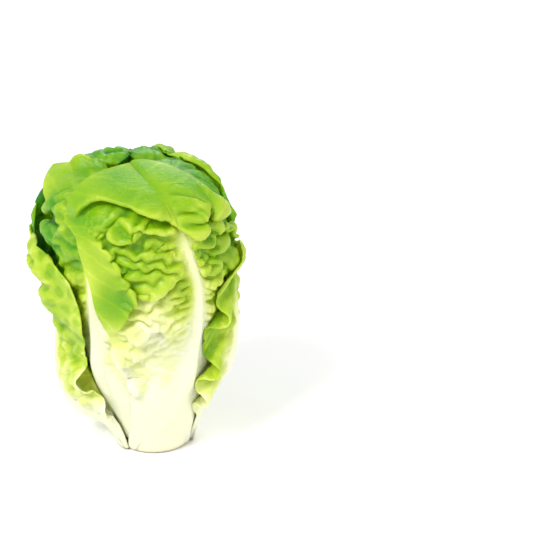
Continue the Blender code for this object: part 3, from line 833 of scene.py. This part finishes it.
def wrinkle_growth(leaf, sheet, rng):
    """Fine wrinkles between the blisters."""
    blade, beside_rib, loose = sheet.blade, sheet.beside_rib, sheet.loose
    longer = 0.4 * leaf.blister * (1 + beside_rib) * blade * loose
    wider = 0.3 * leaf.blister * (1 - beside_rib) * blade * loose
    high = (0.02 + 0.35 * BLISTER_HEIGHT * blade * loose) * MM
    wave = 0.05 * sheet.noise((200, 90), rng) * MM * blade * loose
    return Growth(longer, wider, -high, high, wave, rounds=36, bend=0.4, slide=0.3 * MM)


GROWTHS = (fold_growth, crinkle_growth, blister_growth, wrinkle_growth)
CREASED_GRID = 1


def grow_leaf(leaf, stack, cover):
    """Outer and inner face of a leaf, with its looks at each point."""
    rng = np.random.default_rng(leaf.seed)
    along, across = leaf_grid(leaf, 0)
    points = lay_base(leaf, stack, along, across)
    levels = leaf.detail
    for level in range(levels):
        if level:
            along, across = leaf_grid(leaf, level)
            points = finer(points, along.shape)
        if level == CREASED_GRID:
            points = fold_sheet(leaf, points, along, across)
        sheet = Sheet(leaf, points, along, across, cover)
        growth = GROWTHS[level](leaf, sheet, rng)
        points = keep_clear(grow(points, growth, sheet.hold), stack)
    veins = vein_lines(sheet.sideways, sheet.onward, rng) * sheet.off_rib
    normal = outward_normals(points)
    outer = points + normal * leaf_thickness(along, across)[..., None]
    outer[..., 2] = np.maximum(outer[..., 2], FLOOR_CLEARANCE)
    stack.add(outer)
    smooth = points
    for _ in range(DOME_ROUNDS[level]):
        smooth = np.stack([beside(smooth[..., axis]) for axis in range(3)], -1)
    # dome is the sheet's height over its smoothed self; the material paints shade in its hollows
    # and light on its domes from it
    looks = {"tone": leaf_tone(leaf, sheet, rng), "vein": veins,
             "dome": np.einsum("...i,...i->...", points - smooth, normal) / MM,
             "onward": sheet.onward / MM, "sideways": sheet.sideways / MM,
             "rim": np.maximum(ease(sheet.size, 0.9, 1), ease(along, 0.95, 1))}
    return outer, points, looks


def leaf_tone(leaf, sheet, rng):
    """Colour of a leaf from stalk white at 0 to deep green at 1."""
    uneven = sheet.noise((9, 8), rng) * 0.05
    start = leaf.pale
    rise = ease(sheet.along + 0.12 * sheet.size + uneven, start, start + 0.45)
    rib = 1 - ease(sheet.size, 0.4 * RIB_BAND, 1.6 * RIB_BAND)
    rib = rib * (1 - ease(sheet.along, 0.65, 0.88))
    tone = np.clip(leaf.green * rise * (1 - 0.85 * rib) + uneven * rise, 0, 1)
    tone = tone + sheet.patches(leaf.tints) * ease(tone, 0.05, 0.4)
    if leaf.spots:
        spots = sheet.domes(SPOT_PITCH, rng)
        tone = tone + leaf.spots * ease(spots, 0.6, 1) * ease(tone, 0.1, 0.3)
    return np.clip(tone, 0, 1)


def leaf_object(leaf, outer, inner, looks):
    """Closed mesh of a leaf from its two faces, with its looks as attributes."""
    rows, columns = outer.shape[:2]
    count = rows * columns
    points = lean(np.concatenate([outer.reshape(-1, 3), inner.reshape(-1, 3)]))
    index = np.arange(count).reshape(rows, columns)
    face = np.stack([index[:-1, :-1], index[:-1, 1:], index[1:, 1:], index[1:, :-1]], -1)
    face = face.reshape(-1, 4)
    loop = np.concatenate([index[0, :-1], index[:-1, -1], index[-1, :0:-1], index[:0:-1, 0]])
    following = np.roll(loop, -1)
    side = np.stack([following, loop, loop + count, following + count], -1)
    faces = np.concatenate([face, face[:, ::-1] + count, side])
    mesh = bpy.data.meshes.new(leaf.name + "_grown")
    mesh.vertices.add(len(points))
    mesh.vertices.foreach_set("co", points.ravel())
    mesh.loops.add(faces.size)
    mesh.loops.foreach_set("vertex_index", faces.ravel().astype(np.int32))
    mesh.polygons.add(len(faces))
    mesh.polygons.foreach_set("loop_start", np.arange(0, faces.size, 4, dtype=np.int32))
    mesh.update(calc_edges=True)
    mesh.shade_smooth()
    for name, values in looks.items():
        attribute = mesh.attributes.new(name, "FLOAT", "POINT")
        both = np.tile(values.ravel(), 2).astype(np.float32)
        attribute.data.foreach_set("value", both)
    thing = bpy.data.objects.new(leaf.name + "_grown", mesh)
    bpy.context.scene.collection.objects.link(thing)
    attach(thing, "root")
    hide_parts(leaf.name)
    return thing


def srgb(red, green, blue):
    """Linear colour of an sRGB colour given in 0 to 255."""
    def linear(value):
        value /= 255
        return value / 12.92 if value <= 0.04045 else ((value + 0.055) / 1.055) ** 2.4
    return (linear(red), linear(green), linear(blue), 1)


# Colours from stalk white to deep green, and the browned rim of the cut stem end
LEAF_COLOURS = ((0.0, (228, 230, 198)), (0.2, (214, 224, 134)), (0.4, (172, 196, 52)),
                (0.6, (130, 170, 12)), (0.8, (80, 146, 1)), (1.0, (36, 106, 0)))
CUT_COLOUR = (196, 150, 112)
CUT_HEIGHT = 2.6 * MM

# How far the depth of colour changes in hollows (painted shade: deeper in hollows, paler on
# domes), on veins, at the rim and on the fine net
HOLLOW_SHADE_TONE = -0.1
VEIN_TONE = 0.09
RIM_TONE = 0.08
NET_TONE = 0.02
MOTTLE_TONE = 0.2

# Scales of the long grain, the colour mottle and the fine net of veins
GRAIN_SCALE = 0.9
GRAIN_STRETCH = 0.3
MOTTLE_SCALE = 70
NET_SCALE = 330
NET_SHARPNESS = 9


def leaf_material(name):
    """Fresh leaf: its colour follows the leaf's tone, painted deeper in the sheet's hollows and
    paler on its domes as shade and light, with fine relief and a soft sheen.
    """
    material = bpy.data.materials.new(name)
    material.use_nodes = True
    nodes, links = material.node_tree.nodes, material.node_tree.links
    shader = nodes["Principled BSDF"]

    def node(kind, **values):
        made = nodes.new(kind)
        for key, value in values.items():
            setattr(made, key, value)
        return made

    def attribute(key):
        return node("ShaderNodeAttribute", attribute_name=key).outputs["Fac"]

    def maths(operation, *values):
        made = node("ShaderNodeMath", operation=operation)
        for socket, value in zip(made.inputs, values):
            if isinstance(value, (int, float)):
                socket.default_value = value
            else:
                links.new(value, socket)
        return made.outputs[0]

    def ramp(value, stops):
        made = node("ShaderNodeValToRGB")
        elements = made.color_ramp.elements
        while len(elements) < len(stops):
            elements.new(0.5)
        for element, (position, colour) in zip(elements, stops):
            element.position = position
            element.color = srgb(*colour)
        links.new(value, made.inputs["Fac"])
        return made.outputs["Color"]

    def texture(kind, vector, scale, **values):
        made = node(kind, **values)
        made.inputs["Scale"].default_value = scale
        links.new(vector, made.inputs["Vector"])
        return made

    place = node("ShaderNodeTexCoord").outputs["Object"]
    chart = node("ShaderNodeCombineXYZ")
    links.new(maths("MULTIPLY", attribute("sideways"), GRAIN_STRETCH), chart.inputs["X"])
    links.new(attribute("onward"), chart.inputs["Y"])
    grain = texture("ShaderNodeTexNoise", chart.outputs[0], GRAIN_SCALE)
    grain.inputs["Detail"].default_value = 4
    mottle = texture("ShaderNodeTexNoise", place, MOTTLE_SCALE)
    mottle.inputs["Detail"].default_value = 3
    cells = texture("ShaderNodeTexVoronoi", place, NET_SCALE, feature="DISTANCE_TO_EDGE")
    inside = maths("MINIMUM", maths("MULTIPLY", cells.outputs[0], NET_SHARPNESS), 1)
    net = maths("SUBTRACT", 1, inside)

    tone = attribute("tone")
    uneven = maths("MULTIPLY", maths("SUBTRACT", mottle.outputs["Fac"], 0.5), MOTTLE_TONE)
    tone = maths("MULTIPLY_ADD", uneven, tone, tone)
    # painted shade and light: the colour deepens where the sheet lies in a hollow and pales where
    # it domes, standing in for shade in the folds and light on the crests
    hollow_shade = maths("MULTIPLY", attribute("dome"), HOLLOW_SHADE_TONE)
    tone = maths("MULTIPLY_ADD", hollow_shade, attribute("tone"), tone)
    tone = maths("SUBTRACT", tone, maths("MULTIPLY", attribute("vein"), VEIN_TONE))
    tone = maths("SUBTRACT", tone, maths("MULTIPLY", attribute("rim"), RIM_TONE))
    tone = maths("SUBTRACT", tone, maths("MULTIPLY", net, NET_TONE))
    parts = node("ShaderNodeSeparateXYZ")
    links.new(place, parts.inputs[0])
    above_cut = maths("MINIMUM", maths("DIVIDE", parts.outputs["Z"], CUT_HEIGHT), 1)
    browning = maths("MULTIPLY", maths("SUBTRACT", 1, above_cut), mottle.outputs["Fac"])
    colour = node("ShaderNodeMix", data_type="RGBA")
    links.new(browning, colour.inputs["Factor"])
    links.new(ramp(tone, LEAF_COLOURS), colour.inputs[6])
    colour.inputs[7].default_value = srgb(*CUT_COLOUR)
    links.new(colour.outputs[2], shader.inputs["Base Color"])

    relief = node("ShaderNodeBump")
    relief.inputs["Strength"].default_value = 0.6
    relief.inputs["Distance"].default_value = 0.8 * MM
    links.new(maths("MULTIPLY_ADD", net, 0.12, grain.outputs["Fac"]), relief.inputs["Height"])
    links.new(relief.outputs["Normal"], shader.inputs["Normal"])
    rough = maths("MULTIPLY_ADD", grain.outputs["Fac"], 0.25, 0.25)
    links.new(rough, shader.inputs["Roughness"])
    shader.inputs["Subsurface Weight"].default_value = 0.45
    shader.inputs["Subsurface Radius"].default_value = (0.9, 1.0, 0.3)
    shader.inputs["Subsurface Scale"].default_value = 3 * MM
    shader.inputs["Specular IOR Level"].default_value = 0.28
    return material


# Studio lights: name, place, power in watts and size, all aimed at the middle of the head
LIGHTS = (("key", (-0.55, -0.75, 0.95), 13, 0.45),
          ("fill", (0.9, -0.6, 0.5), 4, 0.7),
          ("back", (0.2, 0.9, 0.9), 5, 0.6))
LIGHT_AIM = Vector((0, 0, 0.07))
SKY_STRENGTH = 0.75


def set_stage():
    """Plain pale floor and soft studio light."""
    bpy.ops.mesh.primitive_plane_add(size=6)
    floor = bpy.context.object
    floor.name = "floor"
    material = bpy.data.materials.new("pale_floor")
    material.use_nodes = True
    shader = material.node_tree.nodes["Principled BSDF"]
    shader.inputs["Base Color"].default_value = (0.9, 0.9, 0.9, 1)
    shader.inputs["Roughness"].default_value = 0.8
    floor.data.materials.append(material)

    world = bpy.data.worlds.new("studio")
    bpy.context.scene.world = world
    world.use_nodes = True
    background = world.node_tree.nodes["Background"]
    background.inputs["Color"].default_value = (1, 1, 1, 1)
    background.inputs["Strength"].default_value = SKY_STRENGTH
    for name, place, power, size in LIGHTS:
        lamp = bpy.data.lights.new(name, "AREA")
        lamp.energy = power
        lamp.size = size
        thing = bpy.data.objects.new(name, lamp)
        bpy.context.scene.collection.objects.link(thing)
        thing.location = place
        thing.rotation_mode = "QUATERNION"
        thing.rotation_quaternion = (LIGHT_AIM - Vector(place)).to_track_quat("-Z", "Y")
    bpy.context.scene.view_settings.view_transform = "Standard"


# Camera: the photo's frame is 540 px square, and the middle of the cut stem is at this pixel
FRAME_PX = 540
STEM_PX = (155, 439)
PX_PER_MM = 2.07
CAMERA_ELEVATION = math.radians(21)
CAMERA_DISTANCE = 0.95
SENSOR_MM = 36


def set_camera():
    """Camera straight in front of the head and above it, framed as the photo is."""
    camera = bpy.data.cameras.new("camera")
    thing = bpy.data.objects.new("camera", camera)
    bpy.context.scene.collection.objects.link(thing)
    back = Vector((0, -math.cos(CAMERA_ELEVATION), math.sin(CAMERA_ELEVATION)))
    up = Vector((0, math.sin(CAMERA_ELEVATION), math.cos(CAMERA_ELEVATION)))
    right = Vector((1, 0, 0))
    mm_right = (FRAME_PX / 2 - STEM_PX[0]) / PX_PER_MM
    mm_up = (STEM_PX[1] - FRAME_PX / 2) / PX_PER_MM
    aim = right * mm_right * MM + up * mm_up * MM
    thing.location = aim + back * CAMERA_DISTANCE
    thing.rotation_mode = "QUATERNION"
    thing.rotation_quaternion = (-back).to_track_quat("-Z", "Y")
    camera.sensor_width = SENSOR_MM
    camera.lens = SENSOR_MM * CAMERA_DISTANCE / (FRAME_PX / PX_PER_MM * MM)
    camera.clip_start = 0.01
    bpy.context.scene.camera = thing


def main():
    """Grow the leaves from the heart outward, and dress the stem and the bud in place."""
    materials = {}
    stack = Stack()
    for leaf, cover in zip(LEAVES, cover_maps(LEAVES)):
        outer, inner, looks = grow_leaf(leaf, stack, cover)
        thing = leaf_object(leaf, outer, inner, looks)
        if leaf.slot not in materials:
            materials[leaf.slot] = leaf_material(leaf.slot)
        thing.data.materials.append(materials[leaf.slot])
    for name in ("cut_stem", "heart_bud"):
        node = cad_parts[name]
        node.data.materials.clear()
        node.data.materials.append(materials["heart"])
    set_stage()
    set_camera()


main()
